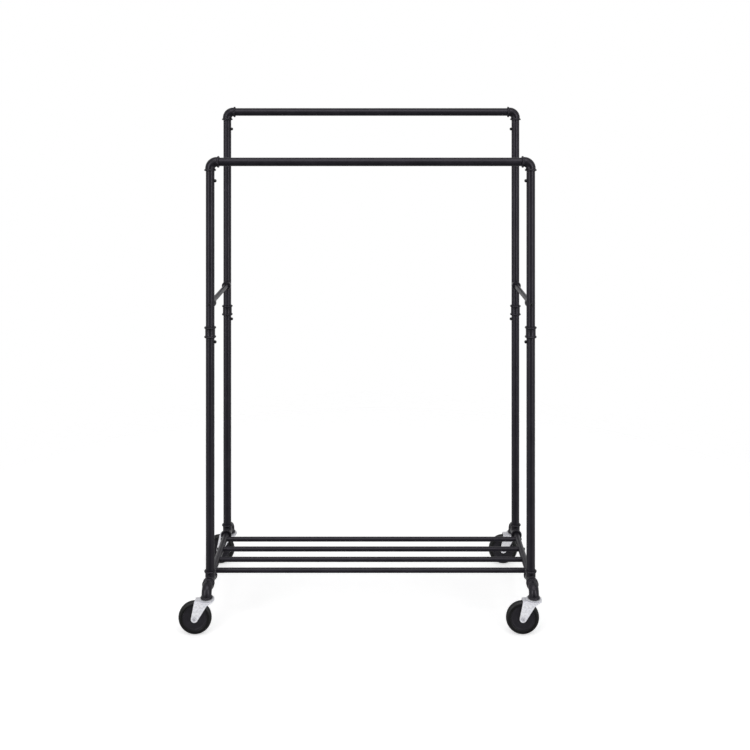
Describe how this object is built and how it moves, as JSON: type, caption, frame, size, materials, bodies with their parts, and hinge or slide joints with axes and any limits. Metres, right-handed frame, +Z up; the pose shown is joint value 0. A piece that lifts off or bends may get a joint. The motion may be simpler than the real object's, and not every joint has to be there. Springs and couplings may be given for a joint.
{
  "type": "rolling clothes rack",
  "caption": "Free-standing black pipe clothes rack on swivel casters, with front and rear hanging rails at different heights and a low rod shelf.",
  "frame": {"origin": "on the floor, midway between the four posts", "axes": "+X along the hanging rails to the right as seen from the front, +Y to the back, +Z up"},
  "size_m": [1.1098, 0.514, 1.6131],
  "materials": {
    "powder_coat": "satin black powder coat",
    "fitting_coat": "satin black powder coat on cast fittings",
    "black_fastener": "black oxide, semi-gloss",
    "inner_steel": "plain dark steel",
    "zinc_plate": "bright zinc plate",
    "bearing_steel": "polished",
    "tyre_rubber": "matte black rubber",
    "hub_plastic": "moulded black"
  },
  "bodies": {
    "frame": {"base_elbow_front_left": "fitting_coat", "base_elbow_front_right": "fitting_coat", "base_elbow_rear_left": "fitting_coat", "base_elbow_rear_right": "fitting_coat", "base_nipples": "inner_steel", "base_side_bar_left": "powder_coat", "base_side_bar_right": "powder_coat", "base_tee_front_left": "fitting_coat", "base_tee_front_right": "fitting_coat", "base_tee_rear_left": "fitting_coat", "base_tee_rear_right": "fitting_coat", "caster_bearing_balls": "bearing_steel", "caster_cups": "zinc_plate", "caster_stems": "zinc_plate", "coupling_front_left": "fitting_coat", "coupling_front_right": "fitting_coat", "coupling_rear_left": "fitting_coat", "coupling_rear_right": "fitting_coat", "crossbar_bolts": "black_fastener", "crossbar_collars": "fitting_coat", "front_top_rail": "powder_coat", "inner_sleeves": "inner_steel", "lower_post_front_left": "powder_coat", "lower_post_front_right": "powder_coat", "lower_post_rear_left": "powder_coat", "lower_post_rear_right": "powder_coat", "post_screws": "black_fastener", "rear_top_rail": "powder_coat", "shelf_rod_1": "powder_coat", "shelf_rod_2": "powder_coat", "shelf_rod_3": "powder_coat", "shelf_rod_4": "powder_coat", "shelf_rod_bolts": "black_fastener", "side_crossbar_left": "powder_coat", "side_crossbar_right": "powder_coat", "top_elbow_front_left": "fitting_coat", "top_elbow_front_right": "fitting_coat", "top_elbow_rear_left": "fitting_coat", "top_elbow_rear_right": "fitting_coat", "upper_post_front_left": "powder_coat", "upper_post_front_right": "powder_coat", "upper_post_rear_left": "powder_coat", "upper_post_rear_right": "powder_coat"},
    "fork_front_left": {"caster_fork_front_left": "zinc_plate", "caster_axle_front_left": "zinc_plate"},
    "wheel_front_left": {"wheel_hub_front_left": "hub_plastic", "wheel_tyre_front_left": "tyre_rubber"},
    "fork_front_right": {"caster_fork_front_right": "zinc_plate", "caster_axle_front_right": "zinc_plate"},
    "wheel_front_right": {"wheel_hub_front_right": "hub_plastic", "wheel_tyre_front_right": "tyre_rubber"},
    "fork_rear_left": {"caster_fork_rear_left": "zinc_plate", "caster_axle_rear_left": "zinc_plate"},
    "wheel_rear_left": {"wheel_hub_rear_left": "hub_plastic", "wheel_tyre_rear_left": "tyre_rubber"},
    "fork_rear_right": {"caster_fork_rear_right": "zinc_plate", "caster_axle_rear_right": "zinc_plate"},
    "wheel_rear_right": {"wheel_hub_rear_right": "hub_plastic", "wheel_tyre_rear_right": "tyre_rubber"}
  },
  "joints": [
    {"name": "caster_swivel_front_left", "type": "hinge", "parent": "frame", "child": "fork_front_left", "pos_m": [-0.5, -0.233, 0.1048], "axis": [0, 0, 1], "continuous": true},
    {"name": "wheel_spin_front_left", "type": "hinge", "parent": "fork_front_left", "child": "wheel_front_left", "pos_m": [-0.535, -0.233, 0.0508], "axis": [0, 1, 0], "continuous": true},
    {"name": "caster_swivel_front_right", "type": "hinge", "parent": "frame", "child": "fork_front_right", "pos_m": [0.5, -0.233, 0.1048], "axis": [0, 0, 1], "continuous": true},
    {"name": "wheel_spin_front_right", "type": "hinge", "parent": "fork_front_right", "child": "wheel_front_right", "pos_m": [0.465, -0.233, 0.0508], "axis": [0, 1, 0], "continuous": true},
    {"name": "caster_swivel_rear_left", "type": "hinge", "parent": "frame", "child": "fork_rear_left", "pos_m": [-0.5, 0.233, 0.1048], "axis": [0, 0, 1], "continuous": true},
    {"name": "wheel_spin_rear_left", "type": "hinge", "parent": "fork_rear_left", "child": "wheel_rear_left", "pos_m": [-0.535, 0.233, 0.0508], "axis": [0, 1, 0], "continuous": true},
    {"name": "caster_swivel_rear_right", "type": "hinge", "parent": "frame", "child": "fork_rear_right", "pos_m": [0.5, 0.233, 0.1048], "axis": [0, 0, 1], "continuous": true},
    {"name": "wheel_spin_rear_right", "type": "hinge", "parent": "fork_rear_right", "child": "wheel_rear_right", "pos_m": [0.465, 0.233, 0.0508], "axis": [0, 1, 0], "continuous": true}
  ]
}
